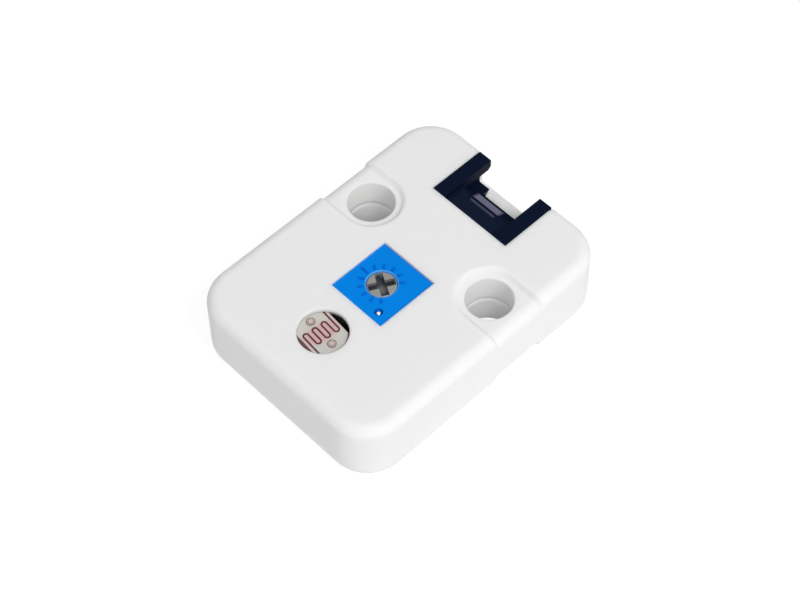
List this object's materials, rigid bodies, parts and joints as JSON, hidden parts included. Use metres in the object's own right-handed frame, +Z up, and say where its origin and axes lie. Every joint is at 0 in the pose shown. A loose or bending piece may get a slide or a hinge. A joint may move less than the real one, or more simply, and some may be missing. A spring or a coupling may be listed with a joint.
{
  "type": "light sensor module",
  "caption": "Flat rounded case with a light cell under a round window, a screwdriver-set trimmer, brick-style pin holes through the case and a keyed socket at one end.",
  "frame": {"origin": "centre of the case's footprint, on the underside that the module lies on", "axes": "+X along the case's length towards the plug socket, +Y across the case, +Z up out of the face with the window and the trimmer"},
  "size_m": [0.032, 0.024, 0.008],
  "materials": {
    "case_plastic": "fine satin moulded surface",
    "screw_steel": "plain zinc-plated steel",
    "board_laminate": "glossy solder mask on glass-fibre laminate",
    "chip_plastic": "dull moulded epoxy",
    "capacitor_ceramic": "fired ceramic",
    "tinned_metal": "tin-plated",
    "socket_plastic": "smooth moulded surface with a soft shine",
    "trimmer_plastic": "satin moulded surface",
    "rotor_plastic": "satin moulded surface",
    "spring_bronze": "bright spring strip",
    "track_ceramic": "fired ceramic",
    "seal_rubber": "smooth rubber",
    "cell_ceramic": "ceramic under a clear coat",
    "cell_film": "thin dark red film"
  },
  "bodies": {
    "module": {"top_shell": "case_plastic", "bottom_cover": "case_plastic", "case_screw": "screw_steel", "circuit_board": "board_laminate", "comparator_ic": "chip_plastic", "comparator_legs": "tinned_metal", "chip_resistors": "chip_plastic", "chip_capacitors": "capacitor_ceramic", "solder_joints": "tinned_metal", "socket_housing": "socket_plastic", "socket_pin_1": "tinned_metal", "socket_pin_2": "tinned_metal", "socket_pin_3": "tinned_metal", "socket_pin_4": "tinned_metal", "socket_anchor_left": "tinned_metal", "socket_anchor_right": "tinned_metal", "trimmer_housing": "trimmer_plastic", "trimmer_track": "track_ceramic", "trimmer_o_ring": "seal_rubber", "trimmer_leg_1": "tinned_metal", "trimmer_leg_2": "tinned_metal", "trimmer_leg_3": "tinned_metal", "ldr_cell": "cell_ceramic", "ldr_track": "cell_film", "ldr_lead_1": "tinned_metal", "ldr_lead_2": "tinned_metal"},
    "rotor": {"trimmer_rotor": "rotor_plastic", "trimmer_wiper": "spring_bronze"}
  },
  "joints": [
    {"name": "trimmer_turn", "type": "hinge", "parent": "module", "child": "rotor", "pos_m": [-0.00225, 0.00012, 0.0078], "axis": [0, 0, 1], "range_deg": [-130, 130]}
  ]
}
